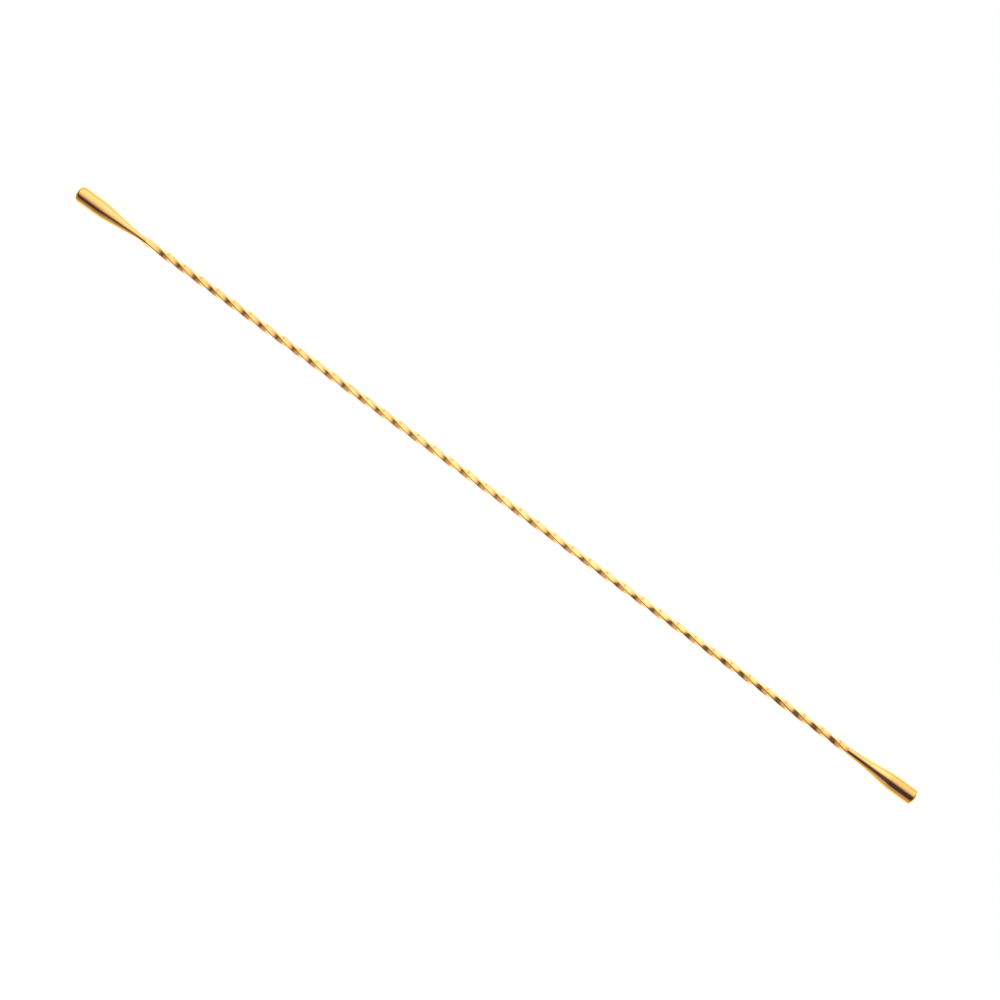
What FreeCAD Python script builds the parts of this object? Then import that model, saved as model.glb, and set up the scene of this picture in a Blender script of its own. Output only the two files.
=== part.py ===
"""Double-ended bar stirrer: a twisted square stem brazed into two turned, weighted heads.

Millimetres, +Z up.  The stem's axis runs along +X from the left head to the right head, one
barrel radius above the surface that both heads lie on.  The origin is on that surface, under
the middle of the overall length.
"""
import FreeCAD, Part
import math
import os
import Sketcher

Vector = FreeCAD.Vector

# Driving dimensions, in millimetres and degrees.  Each becomes one cell of the sheet, under
# the same name.  "Length" along a head runs from the tip of its dome.
SIZES = {
    "overall_length": 400.0,
    "barrel_radius": 3.5,        # both heads have the same barrel, so the stirrer lies level
    # left head: a softly rounded nose and a long, straight, thin neck
    "left_length": 31.7,
    "left_dome_radius": 4.6,
    "left_edge_radius": 2.2,
    "left_barrel_end": 9.4,
    "left_shoulder_radius": 45.0,
    "left_cone_angle": 7.85,
    "left_flare_radius": 20.0,
    "left_neck_taper": 0.0,
    "left_neck_radius": 1.15,
    # right head: a shallow dome with a crisp edge, and a neck that flares all the way
    "right_length": 32.1,
    "right_dome_radius": 5.0,
    "right_edge_radius": 0.5,
    "right_barrel_end": 10.2,
    "right_shoulder_radius": 25.0,
    "right_cone_angle": 7.7,
    "right_flare_radius": 100.0,
    "right_neck_taper": 3.1,
    "right_neck_radius": 1.5,
    # blind bore in each neck, the stem's spigot in it and the braze between them
    "bore_radius": 0.7,
    "bore_depth": 10.2,
    "drill_point_angle": 118.0,
    "spigot_radius": 0.65,
    "spigot_length": 10.0,
    "braze_ring_thickness": 0.1,
    "braze_ring_recess": 0.05,
    # square bar with well rounded corners, twisted right-handed, a little tighter to the left;
    # the twist sets in gradually at the left end, and both ends are turned down to the necks
    "bar_side": 2.6,
    "bar_corner_radius": 0.5,
    "twist_pitch_left": 30.92,
    "twist_pitch_right": 34.98,
    "twist_run_in": 10.0,
    "section_angle_left": 60.3,
    "end_turning_clearance": 0.02,
    "end_turning_depth": 0.55,
    "left_turning_angle": 14.0,
    "right_turning_angle": 40.0,
}

GUIDE_RADIUS = 5.0               # the curve that steers the twist, outside the bar
GUIDE_POINTS_PER_TURN = 72
AXIS_POINT = (-1, 1)             # a sketch's origin, as Sketcher names it
HORIZONTAL_AXIS = -1
VERTICAL_AXIS = -2
START = 1
END = 2
CENTRE = 3


def make_sheet(doc):
    """Put the driving dimensions in a spreadsheet, one named cell each."""
    sheet = doc.addObject("Spreadsheet::Sheet", "sizes")
    for row, (name, value) in enumerate(SIZES.items(), start=1):
        sheet.set(f"A{row}", name)
        sheet.set(f"B{row}", str(value))
        sheet.setAlias(f"B{row}", name)
    doc.recompute()
    return sheet


def require(condition, expectation):
    """Stop with a plain message if the geometry did not come out as expected."""
    if not condition:
        raise RuntimeError(f"not so: {expectation}")


def add_body(doc, label):
    """An empty body whose label is the name of the piece."""
    body = doc.addObject("PartDesign::Body", label)
    body.Label = label
    return body


def add_sketch(body, name, plane_role):
    """An empty sketch on one of the body's own origin planes."""
    sketch = body.newObject("Sketcher::SketchObject", name)
    plane = next(item for item in body.Origin.OriginFeatures if item.Role == plane_role)
    sketch.AttachmentSupport = [(plane, "")]
    sketch.MapMode = "FlatFace"
    return sketch


def bind_datum(sketch, constraint, name, expression):
    """Add a dimensional constraint and bind its value to the sheet."""
    index = sketch.addConstraint(constraint)
    sketch.renameConstraint(index, name)
    sketch.setExpression(f"Constraints.{name}", expression)


def polygon_sketch(body, name, plane_role, corners):
    """Closed polygon whose corners are (x, y) expressions.  A corner's "0" pins it to an axis."""
    sketch = add_sketch(body, name, plane_role)
    points = [Vector(float(sketch.evalExpression(x)), float(sketch.evalExpression(y)), 0)
              for x, y in corners]
    count = len(points)
    for index, point in enumerate(points):
        sketch.addGeometry(Part.LineSegment(point, points[(index + 1) % count]), False)
    for index in range(count):
        following = (index + 1) % count
        sketch.addConstraint(Sketcher.Constraint("Coincident", index, END, following, START))
    for index, corner in enumerate(corners):
        for kind, expression in zip(("DistanceX", "DistanceY"), corner):
            if expression == "0":
                axis = VERTICAL_AXIS if kind == "DistanceX" else HORIZONTAL_AXIS
                sketch.addConstraint(Sketcher.Constraint("PointOnObject", index, START, axis))
                continue
            value = float(sketch.evalExpression(expression))
            datum = Sketcher.Constraint(kind, *AXIS_POINT, index, START, value)
            bind_datum(sketch, datum, f"corner{index}_{kind[-1].lower()}", expression)
    return sketch


def revolve(body, feature_type, name, sketch):
    """Turn a sketch a full revolution about its own horizontal axis."""
    feature = body.newObject(feature_type, name)
    feature.Profile = sketch
    feature.ReferenceAxis = (sketch, ["H_Axis"])
    feature.Angle = 360.0
    return feature


def head_outline(sheet, side):
    """Starting geometry of a head's half section: x from the tip, y from the axis."""
    def size(name):
        return sheet.get(f"{side}_{name}")

    barrel = sheet.get("barrel_radius")
    cone = math.radians(size("cone_angle"))
    taper = math.radians(size("neck_taper"))
    dome_radius = size("dome_radius")
    edge_radius = size("edge_radius")
    shoulder_radius = size("shoulder_radius")
    flare_radius = size("flare_radius")

    dome_centre = Vector(dome_radius, 0, 0)
    edge_height = barrel - edge_radius
    edge_back = math.sqrt((dome_radius - edge_radius) ** 2 - edge_height ** 2)
    edge_centre = Vector(dome_radius - edge_back, edge_height, 0)
    dome_end_angle = math.pi - math.atan2(edge_height, edge_back)

    barrel_start = Vector(edge_centre.x, barrel, 0)
    barrel_end = Vector(size("barrel_end"), barrel, 0)
    shoulder_centre = barrel_end - Vector(0, shoulder_radius, 0)
    cone_start = shoulder_centre + shoulder_radius * Vector(math.sin(cone), math.cos(cone), 0)
    neck_end = Vector(size("length"), size("neck_radius"), 0)

    # The flare touches the cone and the neck, so its centre is one flare radius from both.
    cone_side = Vector(math.sin(cone), math.cos(cone), 0)
    neck_side = Vector(math.sin(taper), math.cos(taper), 0)
    cone_offset = cone_start.dot(cone_side) + flare_radius
    neck_offset = neck_end.dot(neck_side) + flare_radius
    spread = cone_side.x * neck_side.y - cone_side.y * neck_side.x
    flare_centre = Vector((cone_offset * neck_side.y - neck_offset * cone_side.y) / spread,
                          (cone_side.x * neck_offset - neck_side.x * cone_offset) / spread, 0)
    cone_end = flare_centre - flare_radius * cone_side
    neck_start = flare_centre - flare_radius * neck_side

    def arc(centre, radius, first, last):
        circle = Part.Circle(centre, Vector(0, 0, 1), radius)
        return Part.ArcOfCircle(circle, first, last)

    quarter = math.pi / 2
    face_foot = Vector(neck_end.x, 0, 0)
    return [
        arc(dome_centre, dome_radius, dome_end_angle, math.pi),
        arc(edge_centre, edge_radius, quarter, dome_end_angle),
        Part.LineSegment(barrel_start, barrel_end),
        arc(shoulder_centre, shoulder_radius, quarter - cone, quarter),
        Part.LineSegment(cone_start, cone_end),
        arc(flare_centre, flare_radius, 3 * quarter - cone, 3 * quarter - taper),
        Part.LineSegment(neck_start, neck_end),
        Part.LineSegment(neck_end, face_foot),
        Part.LineSegment(face_foot, Vector(0, 0, 0)),
    ]


def head_section(body, sheet, side):
    """Fully constrained half section of a head: dome, edge, barrel, shoulder, cone, flare, neck."""
    dome, edge, barrel, shoulder, cone, flare, neck, face, axis = range(9)
    sketch = add_sketch(body, f"{side}_head_section", "XY_Plane")
    sketch.addGeometry(head_outline(sheet, side), False)

    smooth_joints = [
        (edge, END, dome, START),
        (barrel, START, edge, START),
        (barrel, END, shoulder, END),
        (cone, START, shoulder, START),
        (cone, END, flare, START),
        (neck, START, flare, END),
    ]
    for joint in smooth_joints:
        sketch.addConstraint(Sketcher.Constraint("Tangent", *joint))
    plain_joints = [
        (neck, END, face, START),
        (face, END, axis, START),
        (axis, END, dome, END),
        (dome, END, *AXIS_POINT),
    ]
    for joint in plain_joints:
        sketch.addConstraint(Sketcher.Constraint("Coincident", *joint))
    sketch.addConstraint(Sketcher.Constraint("Horizontal", barrel))
    sketch.addConstraint(Sketcher.Constraint("Horizontal", axis))
    sketch.addConstraint(Sketcher.Constraint("Vertical", face))
    sketch.addConstraint(Sketcher.Constraint("PointOnObject", dome, CENTRE, HORIZONTAL_AXIS))

    def size(name):
        return sheet.get(f"{side}_{name}")

    for arc, name in ((dome, "dome_radius"), (edge, "edge_radius"),
                      (shoulder, "shoulder_radius"), (flare, "flare_radius")):
        datum = Sketcher.Constraint("Radius", arc, size(name))
        bind_datum(sketch, datum, name, f"sizes.{side}_{name}")
    for line, name in ((cone, "cone_angle"), (neck, "neck_taper")):
        datum = Sketcher.Constraint("Angle", line, -math.radians(size(name)))
        bind_datum(sketch, datum, name, f"-sizes.{side}_{name}")
    places = [
        ("DistanceY", barrel, "barrel_height", "barrel_radius"),
        ("DistanceX", barrel, "barrel_end", f"{side}_barrel_end"),
        ("DistanceY", neck, "neck_radius", f"{side}_neck_radius"),
        ("DistanceX", neck, "head_length", f"{side}_length"),
    ]
    for kind, line, name, cell in places:
        datum = Sketcher.Constraint(kind, *AXIS_POINT, line, END, sheet.get(cell))
        bind_datum(sketch, datum, name, f"sizes.{cell}")
    return sketch


def place_on_head_axis(body, side):
    """Stand a piece drawn from the tip of a head at that head's end of the stirrer."""
    if side == "left":
        body.setExpression("Placement.Base.x", "-sizes.overall_length / 2")
    else:
        body.Placement = FreeCAD.Placement(Vector(), FreeCAD.Rotation(Vector(0, 0, 1), 180))
        body.setExpression("Placement.Base.x", "sizes.overall_length / 2")
    body.setExpression("Placement.Base.z", "sizes.barrel_radius")


def make_head(doc, sheet, side):
    """Solid turned head with a blind, drilled bore in its neck."""
    body = add_body(doc, f"{side}_head")
    section = head_section(body, sheet, side)
    turned = revolve(body, "PartDesign::Revolution", f"{side}_head_turned", section)
    doc.recompute()

    mouth = f"sizes.{side}_length"
    floor = f"{mouth} - sizes.bore_depth"
    bore = polygon_sketch(body, f"{side}_bore_section", "XY_Plane", [
        (mouth, "0"),
        (mouth, "sizes.bore_radius"),
        (floor, "sizes.bore_radius"),
        (f"{floor} - sizes.bore_radius / tan(sizes.drill_point_angle / 2 * 1 deg)", "0"),
    ])
    drilled = revolve(body, "PartDesign::Groove", f"{side}_head_drilled", bore)
    doc.recompute()
    require(drilled.Shape.Volume < turned.Shape.Volume, f"the {side} bore cuts its head")
    place_on_head_axis(body, side)
    return body


def make_braze(doc, side):
    """Braze metal around a spigot, in the drill point below it, and between the two butt faces."""
    body = add_body(doc, f"{side}_braze_joint")
    mouth = f"sizes.{side}_length"
    floor = f"{mouth} - sizes.bore_depth"
    spigot_end = f"{mouth} + sizes.braze_ring_thickness - sizes.spigot_length"
    section = polygon_sketch(body, f"{side}_braze_section", "XY_Plane", [
        (f"{floor} - sizes.bore_radius / tan(sizes.drill_point_angle / 2 * 1 deg)", "0"),
        (floor, "sizes.bore_radius"),
        (mouth, "sizes.bore_radius"),
        (mouth, f"sizes.{side}_neck_radius - sizes.braze_ring_recess"),
        (f"{mouth} + sizes.braze_ring_thickness",
         f"sizes.{side}_neck_radius - sizes.braze_ring_recess"),
        (f"{mouth} + sizes.braze_ring_thickness", "sizes.spigot_radius"),
        (spigot_end, "sizes.spigot_radius"),
        (spigot_end, "0"),
    ])
    revolve(body, "PartDesign::Revolution", f"{side}_braze_filler", section)
    place_on_head_axis(body, side)
    return body


def bar_length(sheet):
    """Length of the square bar between the two braze rings."""
    heads = sheet.get("left_length") + sheet.get("right_length")
    return sheet.get("overall_length") - heads - 2 * sheet.get("braze_ring_thickness")


def twist_curve(sheet):
    """Curve round the bar's axis whose angle follows the twist.

    The turns per millimetre change evenly from one end of the bar to the other, after growing
    from none over the run-in at the left end.
    """
    length = bar_length(sheet)
    rate_left = 1 / sheet.get("twist_pitch_left")
    rate_right = 1 / sheet.get("twist_pitch_right")
    run_in = sheet.get("twist_run_in")

    def turns(along):
        started = min(along, run_in)
        missing = rate_left * (started - started ** 2 / (2 * run_in))
        change = (rate_right - rate_left) * along ** 2 / (2 * length)
        return rate_left * along + change - missing

    count = round(GUIDE_POINTS_PER_TURN * turns(length))
    points = []
    for index in range(count + 1):
        along = length * index / count
        angle = 2 * math.pi * turns(along)
        points.append(Vector(along, GUIDE_RADIUS * math.cos(angle), GUIDE_RADIUS * math.sin(angle)))
    curve = Part.BSplineCurve()
    curve.interpolate(points)
    return curve.toShape()


def square_section(body):
    """Square section with rounded corners, centred on the axis, at its angle at the left end."""
    sketch = add_sketch(body, "bar_section", "YZ_Plane")
    corner_radius = float(sketch.evalExpression("sizes.bar_corner_radius"))
    reach = float(sketch.evalExpression("sizes.bar_side")) / 2 - corner_radius
    quarter = math.pi / 2
    centres = [Vector(-reach, -reach), Vector(reach, -reach),
               Vector(reach, reach), Vector(-reach, reach)]
    corners = [Part.ArcOfCircle(Part.Circle(centre, Vector(0, 0, 1), corner_radius),
                                (index + 2) * quarter, (index + 3) * quarter)
               for index, centre in enumerate(centres)]
    sides = [Part.LineSegment(corners[index].EndPoint, corners[(index + 1) % 4].StartPoint)
             for index in range(4)]
    sketch.addGeometry(corners + sides, False)
    for corner in range(4):
        side = corner + 4
        following = (corner + 1) % 4
        sketch.addConstraint(Sketcher.Constraint("Tangent", corner, END, side, START))
        sketch.addConstraint(Sketcher.Constraint("Tangent", side, END, following, START))
        level = "Horizontal" if corner % 2 == 0 else "Vertical"
        sketch.addConstraint(Sketcher.Constraint(level, side))
    for corner in range(1, 4):
        sketch.addConstraint(Sketcher.Constraint("Equal", 0, corner))
    opposite_corners = (0, CENTRE, 2, CENTRE)
    sketch.addConstraint(Sketcher.Constraint("Symmetric", *opposite_corners, *AXIS_POINT))
    bind_datum(sketch, Sketcher.Constraint("Radius", 0, corner_radius), "corner_radius",
               "sizes.bar_corner_radius")
    for kind, first in (("DistanceX", 0), ("DistanceY", 1)):
        datum = Sketcher.Constraint(kind, first, CENTRE, first + 1, CENTRE, 2 * reach)
        bind_datum(sketch, datum, f"corner_spacing_{kind[-1].lower()}",
                   "sizes.bar_side - 2 * sizes.bar_corner_radius")
    sketch.AttachmentOffset = FreeCAD.Placement(Vector(), FreeCAD.Rotation(Vector(0, 0, 1), 1))
    sketch.setExpression("AttachmentOffset.Rotation.Angle", "sizes.section_angle_left")
    return sketch


def add_spigot(body, side, bar_length_expression):
    """Round spigot that stands out of one end of the bar."""
    sketch = add_sketch(body, f"{side}_spigot_section", "YZ_Plane")
    radius = float(sketch.evalExpression("sizes.spigot_radius"))
    sketch.addGeometry(Part.Circle(Vector(), Vector(0, 0, 1), radius), False)
    sketch.addConstraint(Sketcher.Constraint("Coincident", 0, CENTRE, *AXIS_POINT))
    bind_datum(sketch, Sketcher.Constraint("Radius", 0, radius), "spigot", "sizes.spigot_radius")
    if side == "right":
        sketch.setExpression("AttachmentOffset.Base.z", bar_length_expression)
    pad = body.newObject("PartDesign::Pad", f"{side}_spigot")
    pad.Profile = sketch
    pad.Reversed = side == "left"
    pad.setExpression("Length", "sizes.spigot_length")
    return pad


def turn_bar_end(body, side, bar_length_expression):
    """Cut the bar's corners back to a cone that runs down to the braze ring."""
    low = f"sizes.{side}_neck_radius + sizes.end_turning_clearance"
    high = f"{low} + sizes.end_turning_depth"
    run = f"sizes.end_turning_depth / tan(sizes.{side}_turning_angle * 1 deg)"
    if side == "left":
        face, back = "0", run
    else:
        face, back = bar_length_expression, f"{bar_length_expression} - {run}"
    section = polygon_sketch(body, f"{side}_end_cut", "XY_Plane",
                             [(face, low), (face, high), (back, high)])
    return revolve(body, "PartDesign::Groove", f"{side}_end_turned", section)


def make_stem(doc, sheet):
    """Twisted square bar with rounded corners, turned ends and a spigot at each end."""
    body = add_body(doc, "twisted_stem")
    length = ("(sizes.overall_length - sizes.left_length - sizes.right_length"
              " - 2 * sizes.braze_ring_thickness)")
    section = square_section(body)

    axis = add_sketch(body, "bar_axis", "XY_Plane")
    axis.addGeometry(Part.LineSegment(Vector(), Vector(bar_length(sheet), 0, 0)), False)
    axis.addConstraint(Sketcher.Constraint("Coincident", 0, START, *AXIS_POINT))
    axis.addConstraint(Sketcher.Constraint("Horizontal", 0))
    datum = Sketcher.Constraint("DistanceX", 0, START, 0, END, bar_length(sheet))
    bind_datum(axis, datum, "bar_length", length)

    left_end = "-sizes.overall_length / 2 + sizes.left_length + sizes.braze_ring_thickness"
    guide = doc.addObject("Part::Feature", "twist_guide")
    guide.Shape = twist_curve(sheet)
    for item in (body, guide):
        item.setExpression("Placement.Base.x", left_end)
        item.setExpression("Placement.Base.z", "sizes.barrel_radius")
    doc.recompute()
    binder = body.newObject("PartDesign::SubShapeBinder", "twist_guide_binder")
    binder.Support = [(guide, ("",))]
    doc.recompute()

    bar = body.newObject("PartDesign::AdditivePipe", "twisted_bar")
    bar.Profile = (section, [""])
    bar.Spine = (axis, ["Edge1"])
    bar.Mode = "Auxiliary"
    bar.AuxiliarySpine = (binder, ["Edge1"])
    bar.AuxiliaryCurvilinear = False
    doc.recompute()

    section_area = Part.Face(section.Shape.Wires[0]).Area
    swept_evenly = math.isclose(bar.Shape.Volume, section_area * bar_length(sheet), rel_tol=1e-4)
    require(swept_evenly, "the twisted bar keeps its section over its whole length")

    for side in ("left", "right"):
        square_ended = body.Shape.Volume
        turn_bar_end(body, side, length)
        doc.recompute()
        turned = body.Shape.Volume
        require(turned < square_ended, f"turning the {side} end cuts its corners")
        add_spigot(body, side, length)
        doc.recompute()
        require(body.Shape.Volume > turned, f"the {side} spigot adds to the bar")
    return body


def check_document(doc, pieces):
    """Stop if any object failed to build, or if a piece is not one sound solid."""
    for item in doc.Objects:
        failed = [state for state in item.State if state in ("Invalid", "Error")]
        if failed:
            raise RuntimeError(f"{item.Name} is {failed}")
        if item.TypeId == "Sketcher::SketchObject" and not item.FullyConstrained:
            raise RuntimeError(f"{item.Name} is not fully constrained")
    for piece in pieces:
        shape = piece.Shape
        if shape.isNull() or not shape.isValid() or len(shape.Solids) != 1:
            raise RuntimeError(f"{piece.Label} is not one valid solid")


def main():
    doc = FreeCAD.newDocument("bar_stirrer")
    sheet = make_sheet(doc)
    pieces = [make_stem(doc, sheet)]
    for side in ("left", "right"):
        pieces.append(make_head(doc, sheet, side))
        pieces.append(make_braze(doc, side))
    doc.recompute()
    check_document(doc, pieces)
    os.makedirs("parts", exist_ok=True)
    for piece in pieces:
        piece.Shape.exportStep(f"parts/{piece.Label}.step")
        box = piece.Shape.optimalBoundingBox()
        print(f"{piece.Label}: {piece.Shape.Volume:.2f} mm3, "
              f"x {box.XMin:.2f} to {box.XMax:.2f}, z {box.ZMin:.3f} to {box.ZMax:.3f}")


main()
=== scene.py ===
"""Looks of the double-ended bar stirrer: polished gold plate on a white table, seen from above.

Metres, +Z up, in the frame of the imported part.  Profiles and sections are drawn in millimetres
and scaled when their mesh is made.
"""
import math

import bmesh
import bpy
import numpy as np
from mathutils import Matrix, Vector


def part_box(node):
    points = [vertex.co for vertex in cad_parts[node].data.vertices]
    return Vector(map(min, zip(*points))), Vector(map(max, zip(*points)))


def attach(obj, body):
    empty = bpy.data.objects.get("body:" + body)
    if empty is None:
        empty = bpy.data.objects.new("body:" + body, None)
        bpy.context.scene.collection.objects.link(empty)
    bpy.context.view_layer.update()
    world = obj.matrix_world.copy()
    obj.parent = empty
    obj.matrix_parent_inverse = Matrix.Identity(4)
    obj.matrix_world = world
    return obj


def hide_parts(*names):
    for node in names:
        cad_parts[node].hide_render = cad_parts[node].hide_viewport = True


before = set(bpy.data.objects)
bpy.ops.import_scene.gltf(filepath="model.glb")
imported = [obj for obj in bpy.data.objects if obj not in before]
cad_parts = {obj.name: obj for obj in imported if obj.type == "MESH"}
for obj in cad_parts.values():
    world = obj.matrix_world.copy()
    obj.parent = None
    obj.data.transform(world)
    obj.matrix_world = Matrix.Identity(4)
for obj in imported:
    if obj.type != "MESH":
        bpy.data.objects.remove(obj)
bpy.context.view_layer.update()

MM = 0.001
WHITE = (1.0, 1.0, 1.0, 1.0)

# ---------------------------------------------------------------- sizes, in millimetres
LEFT_LOW, LEFT_HIGH = (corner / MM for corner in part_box("left_head"))
RIGHT_LOW, RIGHT_HIGH = (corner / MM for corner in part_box("right_head"))
AXIS_HEIGHT = (LEFT_LOW.z + LEFT_HIGH.z) / 2
BARREL_RADIUS = (LEFT_HIGH.z - LEFT_LOW.z) / 2
FLOOR_HEIGHT = LEFT_LOW.z

LEFT_HEAD = {
    "length": LEFT_HIGH.x - LEFT_LOW.x,
    "dome_radius": 4.6,
    "edge_radius": 2.2,
    "barrel_end": 9.4,
    "shoulder_radius": 45.0,
    "cone_angle": math.radians(7.85),
    "flare_radius": 20.0,
    "neck_taper": 0.0,
    "neck_radius": 1.15,
}
RIGHT_HEAD = {
    "length": RIGHT_HIGH.x - RIGHT_LOW.x,
    "dome_radius": 5.0,
    "edge_radius": 0.5,
    "barrel_end": 10.2,
    "shoulder_radius": 25.0,
    "cone_angle": math.radians(7.7),
    "flare_radius": 100.0,
    "neck_taper": math.radians(3.1),
    "neck_radius": 1.5,
}
FACE_BREAK = 0.06          # tiny rounding where a neck meets its joint face
BORE_RADIUS = 0.7
BORE_DEPTH = 10.2
DRILL_POINT = BORE_RADIUS / math.tan(math.radians(118 / 2))
SPIGOT_RADIUS = 0.65
SPIGOT_LENGTH = 10.0
BRAZE_RING = 0.1           # thickness of the braze between the butt faces
BRAZE_RECESS = 0.05

BAR_SIDE = 2.6
BAR_CORNER_RADIUS = 0.5
PITCH_LEFT = 30.92
PITCH_RIGHT = 34.98
TWIST_RUN_IN = 10.0
SECTION_ANGLE_LEFT = math.radians(60.3)
TURNING_CLEARANCE = 0.02
TURNING_SLOPE_LEFT = math.tan(math.radians(14))
TURNING_SLOPE_RIGHT = math.tan(math.radians(40))

BAR_START = LEFT_HIGH.x + BRAZE_RING
BAR_END = RIGHT_LOW.x - BRAZE_RING
BAR_LENGTH = BAR_END - BAR_START

# ---------------------------------------------------------------- fineness of the meshes
RUN_STEP = 0.25            # along a head's straight runs, in millimetres
BORE_STEP = 0.5
DOME_STEP = 1.0            # round an arc, in degrees
EDGE_STEP = 4.0
SHOULDER_STEP = 0.4
FLARE_STEP = 0.3
BREAK_STEP = 15.0
CORNER_STEP = 10.0
HEAD_SEGMENTS = 160        # round a turned piece
BRAZE_SEGMENTS = 96
SPIGOT_RINGS = 11
BAR_STEP = 0.3             # along the bar, and finer near its turned ends
END_STEP = 0.08
END_RUN = 2.4
SHARP_ANGLE = math.radians(30)
AXIS_TOLERANCE = 1e-6      # a smaller radius is a point on the axis


# ---------------------------------------------------------------- outlines
def arc(centre, radius, first, last, step):
    """Points along an arc, both ends included, angles in degrees and no step longer than step."""
    count = max(2, math.ceil(abs(last - first) / step))
    angles = np.radians(np.linspace(first, last, count + 1))
    return [(centre[0] + radius * math.cos(a), centre[1] + radius * math.sin(a)) for a in angles]


def line(start, end, step):
    """Points along a straight run, both ends included."""
    count = max(1, math.ceil(math.dist(start, end) / step))
    return [tuple(point) for point in np.linspace(start, end, count + 1)]


def head_outline(size):
    """Outer half section of a head from its tip to its joint face: (from the tip, radius)."""
    dome = size["dome_radius"]
    edge = size["edge_radius"]
    shoulder = size["shoulder_radius"]
    flare = size["flare_radius"]
    cone = size["cone_angle"]
    taper = size["neck_taper"]

    edge_height = BARREL_RADIUS - edge
    edge_back = math.sqrt((dome - edge) ** 2 - edge_height ** 2)
    edge_centre = (dome - edge_back, edge_height)
    turn = 180 - math.degrees(math.atan2(edge_height, edge_back))
    barrel_end = size["barrel_end"]
    shoulder_centre = (barrel_end, BARREL_RADIUS - shoulder)
    cone_start = (shoulder_centre[0] + shoulder * math.sin(cone),
                  shoulder_centre[1] + shoulder * math.cos(cone))
    neck_end = (size["length"], size["neck_radius"])

    # The flare's centre is one flare radius from both the cone and the neck.
    sides = np.array([[math.sin(cone), math.cos(cone)], [math.sin(taper), math.cos(taper)]])
    offsets = np.array([np.dot(sides[0], cone_start), np.dot(sides[1], neck_end)]) + flare
    flare_centre = np.linalg.solve(sides, offsets)
    cone_end = tuple(flare_centre - flare * sides[0])
    neck_start = tuple(flare_centre - flare * sides[1])

    runs = [
        arc((dome, 0), dome, 180, turn, DOME_STEP),
        arc(edge_centre, edge, turn, 90, EDGE_STEP),
        line((edge_centre[0], BARREL_RADIUS), (barrel_end, BARREL_RADIUS), RUN_STEP),
        arc(shoulder_centre, shoulder, 90, 90 - math.degrees(cone), SHOULDER_STEP),
        line(cone_start, cone_end, RUN_STEP),
        arc(flare_centre, flare, 270 - math.degrees(cone), 270 - math.degrees(taper),
            FLARE_STEP),
        line(neck_start, (neck_end[0] - FACE_BREAK, neck_end[1]), RUN_STEP),
        arc((neck_end[0] - FACE_BREAK, neck_end[1] - FACE_BREAK), FACE_BREAK, 90, 0,
            BREAK_STEP),
    ]
    points = [runs[0][0]]
    for run in runs:
        points += run[1:]
    return points


def head_section(size):
    """Whole closed half section of a head: outside, joint face and drilled bore."""
    mouth = size["length"]
    floor = mouth - BORE_DEPTH
    bore = line((mouth, BORE_RADIUS), (floor, BORE_RADIUS), BORE_STEP)
    return head_outline(size) + bore + [(floor - DRILL_POINT, 0)]


def braze_section(size):
    """Closed half section of a braze joint: drill point, sleeve, ring between the butt faces."""
    mouth = size["length"]
    floor = mouth - BORE_DEPTH
    ring = size["neck_radius"] - BRAZE_RECESS
    back = mouth + BRAZE_RING
    spigot_end = back - SPIGOT_LENGTH
    return ([(floor - DRILL_POINT, 0)]
            + line((floor, BORE_RADIUS), (mouth, BORE_RADIUS), BORE_STEP)
            + [(mouth, ring), (back, ring)]
            + line((back, SPIGOT_RADIUS), (spigot_end, SPIGOT_RADIUS), BORE_STEP)
            + [(spigot_end, 0)])


# ---------------------------------------------------------------- meshes
def finish_mesh(name, bm):
    """Object from a bmesh drawn in millimetres, smooth except across sharp edges."""
    bmesh.ops.recalc_face_normals(bm, faces=bm.faces)
    bmesh.ops.scale(bm, vec=Vector((MM, MM, MM)), verts=bm.verts)
    mesh = bpy.data.meshes.new(name)
    bm.to_mesh(mesh)
    bm.free()
    mesh.shade_smooth()
    mesh.set_sharp_from_angle(angle=SHARP_ANGLE)
    obj = bpy.data.objects.new(name, mesh)
    bpy.context.scene.collection.objects.link(obj)
    return obj


def lathe(name, section, tip, direction, segments):
    """Turned solid: section is (from the tip, radius), turned about the stirrer's axis."""
    bm = bmesh.new()
    rings = []
    for along, radius in section:
        x = tip + direction * along
        if radius < AXIS_TOLERANCE:
            rings.append([bm.verts.new((x, 0, AXIS_HEIGHT))])
            continue
        ring = []
        for index in range(segments):
            angle = 2 * math.pi * index / segments
            ring.append(bm.verts.new((x, radius * math.cos(angle),
                                      AXIS_HEIGHT + radius * math.sin(angle))))
        rings.append(ring)
    for first, second in zip(rings, rings[1:]):
        join_rings(bm, first, second)
    return finish_mesh(name, bm)


def join_rings(bm, first, second):
    """Faces between two rings of vertices.  A ring of one vertex is a point on the axis."""
    count = max(len(first), len(second))
    for index in range(count):
        following = (index + 1) % count
        corners = [first[index % len(first)], first[following % len(first)],
                   second[following % len(second)], second[index % len(second)]]
        distinct = list(dict.fromkeys(corners))
        if len(distinct) > 2:
            bm.faces.new(distinct)


def bar_turns(along):
    """Turns of the section from the left end of the bar to a place along it.

    The turns per millimetre grow from none over the run-in, then change evenly.
    """
    rate_left = 1 / PITCH_LEFT
    rate_right = 1 / PITCH_RIGHT
    started = min(along, TWIST_RUN_IN)
    missing = rate_left * (started - started ** 2 / (2 * TWIST_RUN_IN))
    change = (rate_right - rate_left) * along ** 2 / (2 * BAR_LENGTH)
    return rate_left * along + change - missing


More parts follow.
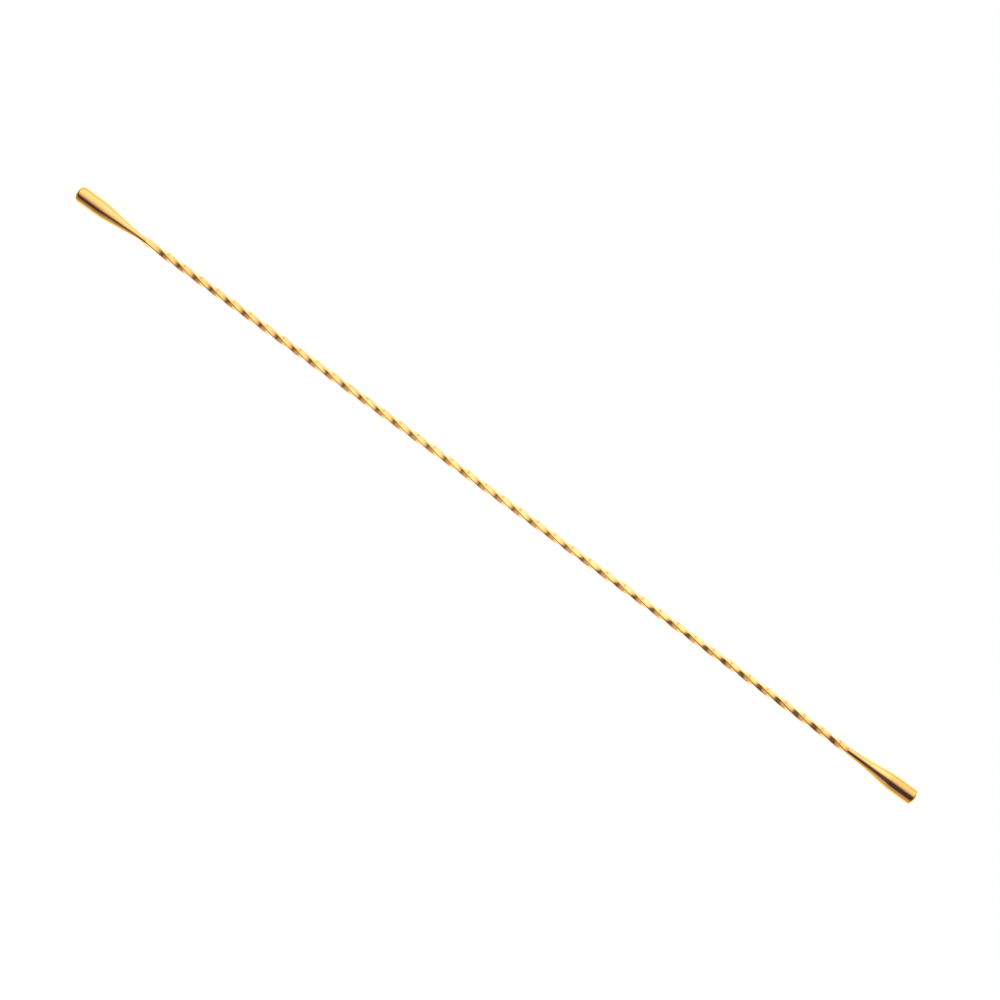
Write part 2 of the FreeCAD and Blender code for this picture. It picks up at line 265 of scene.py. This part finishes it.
def square_loop():
    """Points round the bar's section: (angle, radius).

    Corners are fine, and each flat has points close to its ends that keep it flat in shading.
    """
    reach = BAR_SIDE / 2 - BAR_CORNER_RADIUS
    corner = arc((reach, reach), BAR_CORNER_RADIUS, 0, 90, CORNER_STEP)
    flat = [(share * reach, BAR_SIDE / 2) for share in (0.92, 0.5, 0, -0.5, -0.92)]
    loop = []
    for quarter in range(4):
        for y, z in corner + flat:
            loop.append((math.atan2(z, y) + math.radians(90 * quarter), math.hypot(y, z)))
    return loop


def twisted_bar(name):
    """The whole stem: spigot, turned end, twisted square bar, turned end, spigot."""
    loop = square_loop()
    low_left = LEFT_HEAD["neck_radius"] + TURNING_CLEARANCE
    low_right = RIGHT_HEAD["neck_radius"] + TURNING_CLEARANCE
    places = [0]
    for first, last, step in ((0, END_RUN, END_STEP),
                              (END_RUN, BAR_LENGTH - END_RUN, BAR_STEP),
                              (BAR_LENGTH - END_RUN, BAR_LENGTH, END_STEP)):
        places += [along for along, _ in line((first, 0), (last, 0), step)][1:]
    bm = bmesh.new()
    rings = []

    def add_ring(x, points):
        rings.append([bm.verts.new((x, radius * math.cos(angle),
                                    AXIS_HEIGHT + radius * math.sin(angle)))
                      for angle, radius in points])

    def add_spigot(x_values, turn):
        for x in x_values:
            add_ring(x, [(angle + turn, SPIGOT_RADIUS) for angle, _ in loop])

    spigot_steps = np.linspace(0, SPIGOT_LENGTH, SPIGOT_RINGS)
    start_turn = SECTION_ANGLE_LEFT
    end_turn = SECTION_ANGLE_LEFT + 2 * math.pi * bar_turns(BAR_LENGTH)
    add_spigot(BAR_START - spigot_steps[::-1], start_turn)
    for along in places:
        turn = SECTION_ANGLE_LEFT + 2 * math.pi * bar_turns(along)
        limit = min(low_left + along * TURNING_SLOPE_LEFT,
                    low_right + (BAR_LENGTH - along) * TURNING_SLOPE_RIGHT)
        add_ring(BAR_START + along, [(angle + turn, min(radius, limit)) for angle, radius in loop])
    add_spigot(BAR_END + spigot_steps, end_turn)
    rings.insert(0, [bm.verts.new((BAR_START - SPIGOT_LENGTH, 0, AXIS_HEIGHT))])
    rings.append([bm.verts.new((BAR_END + SPIGOT_LENGTH, 0, AXIS_HEIGHT))])
    for first, second in zip(rings, rings[1:]):
        join_rings(bm, first, second)
    return finish_mesh(name, bm)


# ---------------------------------------------------------------- node helpers
RELIEF_DEPTH = 0.02 * MM   # of the polishing lines, before a bump's strength
CLOUD_SCALE = (90, 260, 260)       # noise scales along X, Y and Z, per metre
SMUDGE_SCALE = (220, 420, 420)
BRAZE_GRAIN_SCALE = 2500.0


class Graph:
    """Short calls for building a node tree."""

    def __init__(self, tree):
        self.tree = tree
        tree.nodes.clear()

    def add(self, kind, inputs=None, **settings):
        """New node, with its settings made and its inputs set or linked."""
        node = self.tree.nodes.new(kind)
        for name, value in settings.items():
            setattr(node, name, value)
        for name, value in (inputs or {}).items():
            if isinstance(value, bpy.types.NodeSocket):
                self.tree.links.new(value, node.inputs[name])
            else:
                node.inputs[name].default_value = value
        return node

    def math(self, operation, *values):
        node = self.add("ShaderNodeMath", dict(enumerate(values)), operation=operation)
        return node.outputs[0]

    def ramp(self, factor, stops):
        """Colour ramp.  Each stop is (place, brightness) or (place, colour)."""
        node = self.add("ShaderNodeValToRGB", {"Fac": factor})
        elements = node.color_ramp.elements
        while len(elements) < len(stops):
            elements.new(0.5)
        for element, (place, colour) in zip(elements, stops):
            element.position = place
            rgb = (colour,) * 3 if isinstance(colour, (int, float)) else colour
            element.color = (*rgb, 1.0)
        return node.outputs["Color"]

    def profile(self, value, stops):
        """Level at a value, on straight lines through the (place, level) stops."""
        low = stops[0][0]
        high = stops[-1][0]
        top = max(level for _, level in stops)
        share = self.add("ShaderNodeMapRange", {"Value": value, "From Min": low,
                                                "From Max": high}).outputs["Result"]
        curve = self.ramp(share, [((place - low) / (high - low), level / top)
                                  for place, level in stops])
        return self.math("MULTIPLY", curve, top)


def new_material(name):
    """Empty material, with the graph that builds its nodes."""
    material = bpy.data.materials.new(name)
    material.use_nodes = True
    return material, Graph(material.node_tree)


def gold_plate(name, grain, roughness, bump, metallic):
    """Polished gold plate.

    grain is the density of the fine polishing lines, (along the stirrer, across it), per
    millimetre.  Slow noise varies the tint and the polish, as handling and plating do.  Fine
    scratches scatter a little light, so the plate isn't fully metallic.
    """
    material, graph = new_material(name)
    place = graph.add("ShaderNodeTexCoord").outputs["Object"]
    slow = graph.add("ShaderNodeMapping", {"Vector": place, "Scale": CLOUD_SCALE})
    cloud = graph.add("ShaderNodeTexNoise", {"Vector": slow.outputs[0], "Scale": 1.0,
                                             "Detail": 3.0, "Roughness": 0.55})
    tint = graph.ramp(cloud.outputs["Fac"], [(0.3, (0.89, 0.46, 0.14)),
                                             (0.7, (0.92, 0.495, 0.158))])
    lines = graph.add("ShaderNodeMapping", {
        "Vector": place, "Scale": (grain[0] / MM, grain[1] / MM, grain[1] / MM)})
    scratch = graph.add("ShaderNodeTexNoise", {"Vector": lines.outputs[0], "Scale": 1.0,
                                               "Detail": 4.0, "Roughness": 0.6})
    smudge = graph.add("ShaderNodeMapping", {"Vector": place, "Scale": SMUDGE_SCALE})
    handling = graph.add("ShaderNodeTexNoise", {"Vector": smudge.outputs[0], "Scale": 1.0,
                                                "Detail": 2.0, "Roughness": 0.5})
    # The two noises add about 0.05 between them, so the base is lowered by nearly as much.
    variation = 0.05
    lowered = 0.045
    worn = graph.math("MULTIPLY_ADD", scratch.outputs["Fac"], variation, roughness - lowered)
    polish = graph.math("MULTIPLY_ADD", handling.outputs["Fac"], variation, worn)
    relief = graph.add("ShaderNodeBump", {"Strength": bump, "Distance": RELIEF_DEPTH,
                                          "Height": scratch.outputs["Fac"]})
    shader = graph.add("ShaderNodeBsdfPrincipled", {
        "Base Color": tint, "Metallic": metallic, "Roughness": polish,
        "Normal": relief.outputs["Normal"]})
    graph.add("ShaderNodeOutputMaterial", {"Surface": shader.outputs[0]})
    return material


def braze_metal():
    """Plated braze: the same gold, a little duller and faintly uneven."""
    material, graph = new_material("plated_braze")
    place = graph.add("ShaderNodeTexCoord").outputs["Object"]
    grain = graph.add("ShaderNodeTexNoise", {"Vector": place, "Scale": BRAZE_GRAIN_SCALE,
                                             "Detail": 3.0})
    tint = graph.ramp(grain.outputs["Fac"], [(0.3, (0.72, 0.38, 0.12)),
                                             (0.7, (0.84, 0.46, 0.15))])
    relief = graph.add("ShaderNodeBump", {"Strength": 0.4, "Distance": RELIEF_DEPTH,
                                          "Height": grain.outputs["Fac"]})
    dull = graph.ramp(grain.outputs["Fac"], [(0.3, 0.26), (0.7, 0.4)])
    shader = graph.add("ShaderNodeBsdfPrincipled", {
        "Base Color": tint, "Metallic": 1.0, "Roughness": dull,
        "Normal": relief.outputs["Normal"]})
    graph.add("ShaderNodeOutputMaterial", {"Surface": shader.outputs[0]})
    return material


# ---------------------------------------------------------------- the stirrer
turned_gold = gold_plate("turned_gold_plate", grain=(14.0, 0.35), roughness=0.07, bump=0.2,
                         metallic=0.99)
drawn_gold = gold_plate("drawn_gold_plate", grain=(0.25, 9.0), roughness=0.06, bump=0.05,
                        metallic=0.82)
plated_braze = braze_metal()

stem = twisted_bar("stem_bar")
left = lathe("left_head_turning", head_section(LEFT_HEAD), LEFT_LOW.x, 1, HEAD_SEGMENTS)
right = lathe("right_head_turning", head_section(RIGHT_HEAD), RIGHT_HIGH.x, -1, HEAD_SEGMENTS)
left_joint = lathe("left_braze", braze_section(LEFT_HEAD), LEFT_LOW.x, 1, BRAZE_SEGMENTS)
right_joint = lathe("right_braze", braze_section(RIGHT_HEAD), RIGHT_HIGH.x, -1, BRAZE_SEGMENTS)

for piece, node, material, slot in (
        (stem, "twisted_stem", drawn_gold, "gold_plate"),
        (left, "left_head", turned_gold, "gold_plate"),
        (right, "right_head", turned_gold, "gold_plate"),
        (left_joint, "left_braze_joint", plated_braze, "braze_metal"),
        (right_joint, "right_braze_joint", plated_braze, "braze_metal")):
    piece.data.materials.append(material)
    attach(piece, "root")
    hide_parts(node)


# ---------------------------------------------------------------- floor
def make_floor():
    """Large plain white table top that glows, most of all under the stirrer.

    The glow sinks to a dull band on its +Y side and just past each end of the stirrer.  Only
    the light and the reflections show this: the camera itself sees even white.
    """
    half_size = 6.0
    mesh = bpy.data.meshes.new("table_top")
    z = FLOOR_HEIGHT * MM
    corners = [(-half_size, -half_size, z), (half_size, -half_size, z),
               (half_size, half_size, z), (-half_size, half_size, z)]
    mesh.from_pydata(corners, [], [(0, 1, 2, 3)])
    floor = bpy.data.objects.new("table_top", mesh)
    bpy.context.scene.collection.objects.link(floor)
    material, graph = new_material("white_table")
    parts = graph.add("ShaderNodeSeparateXYZ", {
        "Vector": graph.add("ShaderNodeTexCoord").outputs["Object"]})
    across = graph.profile(parts.outputs["Y"], [
        (-0.06, 0.55), (-0.035, 0.8), (-0.018, 1.25), (-0.008, 1.6), (0.0, 1.8), (0.008, 1.9),
        (0.018, 1.75), (0.03, 1.3), (0.038, 0.75), (0.048, 0.4), (0.06, 0.55), (0.085, 0.9),
        (0.13, 1.0)])
    along = graph.profile(parts.outputs["X"], [
        (-0.3, 0.9), (-0.255, 0.2), (-0.219, 0.15), (-0.21, 1.0),
        (0.205, 1.0), (0.211, 0.15), (0.25, 0.15), (0.29, 0.9)])
    glow = graph.math("MULTIPLY", across, along)
    lit = graph.add("ShaderNodeEmission", {"Color": WHITE, "Strength": glow})
    plain = graph.add("ShaderNodeEmission", {"Color": WHITE, "Strength": 1.0})
    seen = graph.add("ShaderNodeLightPath").outputs["Is Camera Ray"]
    mix = graph.add("ShaderNodeMixShader", {0: seen, 1: lit.outputs[0], 2: plain.outputs[0]})
    graph.add("ShaderNodeOutputMaterial", {"Surface": mix.outputs[0]})
    mesh.materials.append(material)


# ---------------------------------------------------------------- light
def make_tent():
    """Arched light tent along the stirrer, seen only in reflections and as light.

    Its +Y side is the bright diffuser and its -Y side a dimmer one.  The slit between them,
    where the camera looks in, is dark.  It is narrowest in the middle, and reaches furthest
    towards +Y at the right end.
    """
    radius = 0.25
    half_length = 0.97
    steps = 90
    vertices = []
    for index in range(steps + 1):
        angle = math.radians(180 * index / steps)
        for x in (-half_length, half_length):
            vertices.append((x, radius * math.cos(angle), radius * math.sin(angle)))
    faces = [(2 * i, 2 * i + 1, 2 * i + 3, 2 * i + 2) for i in range(steps)]
    mesh = bpy.data.meshes.new("light_tent")
    mesh.from_pydata(vertices, [], faces)
    tent = bpy.data.objects.new("light_tent", mesh)
    tent.location.z = FLOOR_HEIGHT * MM
    bpy.context.scene.collection.objects.link(tent)
    tent.visible_camera = False

    material, graph = new_material("tent_cloth")
    material.cycles.emission_sampling = "NONE"
    parts = graph.add("ShaderNodeSeparateXYZ", {
        "Vector": graph.add("ShaderNodeTexCoord").outputs["Object"]})
    x, y, z = parts.outputs
    # Tilt in degrees from straight up, positive towards -Y.
    tilt = graph.math("ARCTAN2", graph.math("MULTIPLY", y, -1.0), z)
    tilt = graph.math("MULTIPLY", tilt, 180 / math.pi)

    # Bright diffuser: fades out across its edge, which runs askew over the right half and is
    # sharper there.  A ramp holds no negative levels, so the edge's tilt is drawn raised.
    raised = 20.0
    edge = graph.profile(x, [(-0.25, 22), (-0.13, 26), (0.0, 28), (0.05, 28), (0.107, 10),
                             (0.15, 4), (0.19, 4), (0.3, 5)])
    edge = graph.math("SUBTRACT", edge, raised)
    sharpness = graph.profile(x, [(-0.25, 1.0), (-0.11, 1.2), (0.0, 1.05), (0.06, 1.2),
                                  (0.107, 1.8), (0.19, 1.4)])
    beyond = graph.math("MULTIPLY", graph.math("SUBTRACT", tilt, edge), sharpness)
    diffuser = graph.profile(beyond, [
        (-120, 1.0), (-60, 1.0), (-45, 0.96), (-30, 0.86), (-18, 0.75), (-8, 0.63), (0, 0.5),
        (8, 0.33), (18, 0.13), (26, 0.03), (32, 0.0)])
    horizon = graph.profile(tilt, [(-90, 0.9), (-84, 0.75), (-80, 0.8), (-75, 1.0), (0, 1.0)])
    spot = graph.profile(x, [(-0.35, 1.6), (-0.2, 1.65), (-0.11, 1.62), (-0.07, 1.85),
                             (0.0, 2.05), (0.13, 2.15), (0.18, 1.5), (0.3, 1.3)])
    diffuser = graph.math("MULTIPLY", graph.math("MULTIPLY", diffuser, horizon), spot)

    # Dim side: begins lower down towards the ends, and is brightest right of the middle.
    aside = graph.profile(x, [(-0.2, 51), (-0.13, 41), (0.0, 33), (0.13, 41), (0.2, 50)])
    dim = graph.profile(graph.math("SUBTRACT", tilt, aside), [
        (-90, 0.0), (-5, 0.0), (0, 0.08), (8, 0.38), (20, 0.7), (32, 0.85), (56, 1.0)])
    dim = graph.math("MULTIPLY", dim, graph.profile(x, [
        (-0.25, 0.5), (-0.19, 0.5), (-0.13, 0.68), (0.0, 0.7), (0.13, 0.9), (0.22, 0.72)]))

    light = graph.math("ADD", diffuser, dim)
    # The cloth is a little warm where it is dim, and a little cool where the lamps are behind
    # it.  The ramp covers light from nothing to full_light.
    full_light = 2.0
    tint = graph.ramp(graph.math("MULTIPLY", light, 1 / full_light), [
        (0.05, (1.0, 1.0, 1.0)), (0.19, (1.09, 1.0, 1.0)), (0.3, (1.02, 1.0, 1.0)),
        (0.5, (0.92, 1.0, 1.0)), (0.75, (0.82, 1.0, 1.04)), (0.98, (0.75, 1.0, 1.3))])
    bright = graph.add("ShaderNodeEmission", {"Color": tint, "Strength": light})
    # Faint bluish haze over the whole cloth, the dark slit included.
    haze_level = graph.profile(x, [
        (-0.25, 0.06), (-0.185, 0.06), (-0.165, 0.08), (-0.13, 0.065), (-0.1, 0.065),
        (-0.07, 0.075), (0.0, 0.075), (0.07, 0.085), (0.1, 0.07), (0.125, 0.07), (0.145, 0.12),
        (0.16, 0.11), (0.175, 0.075), (0.25, 0.075)])
    haze = graph.add("ShaderNodeEmission", {"Color": (0.84, 0.8, 1.45, 1.0),
                                            "Strength": haze_level})
    both = graph.add("ShaderNodeAddShader", {0: bright.outputs[0], 1: haze.outputs[0]})
    graph.add("ShaderNodeOutputMaterial", {"Surface": both.outputs[0]})
    mesh.materials.append(material)


def make_world():
    """White backdrop, and a dim room beyond the tent's open ends."""
    world = bpy.data.worlds.new("studio")
    bpy.context.scene.world = world
    world.use_nodes = True
    graph = Graph(world.node_tree)
    room = graph.add("ShaderNodeBackground", {"Color": (0.08, 0.08, 0.1, 1.0), "Strength": 1.0})
    plain = graph.add("ShaderNodeBackground", {"Color": WHITE, "Strength": 1.0})
    seen = graph.add("ShaderNodeLightPath").outputs["Is Camera Ray"]
    mix = graph.add("ShaderNodeMixShader", {0: seen, 1: room.outputs[0], 2: plain.outputs[0]})
    graph.add("ShaderNodeOutputWorld", {"Surface": mix.outputs[0]})


# ---------------------------------------------------------------- camera
def make_camera():
    """Camera straight above, rolled so that the stirrer runs from upper left to lower right."""
    roll = math.radians(35.96)
    shown_width = 0.3862
    lens = 140.0
    sensor = 36.0
    camera_data = bpy.data.cameras.new("camera")
    camera_data.lens = lens
    camera_data.sensor_width = sensor
    camera = bpy.data.objects.new("camera", camera_data)
    bpy.context.scene.collection.objects.link(camera)
    right_way = Vector((math.cos(roll), math.sin(roll), 0))
    up_way = Vector((-math.sin(roll), math.cos(roll), 0))
    # The stirrer's middle sits a little left of and above the picture's centre.
    left_of_centre = 0.00151
    above_centre = 0.00189
    centre = (Vector((0, 0, AXIS_HEIGHT * MM)) + left_of_centre * right_way
              - above_centre * up_way)
    camera.location = centre + Vector((0, 0, shown_width * lens / sensor))
    camera.rotation_euler = (0, 0, roll)
    bpy.context.scene.camera = camera


make_floor()
make_tent()
make_world()
make_camera()
bpy.context.scene.view_settings.view_transform = "Standard"
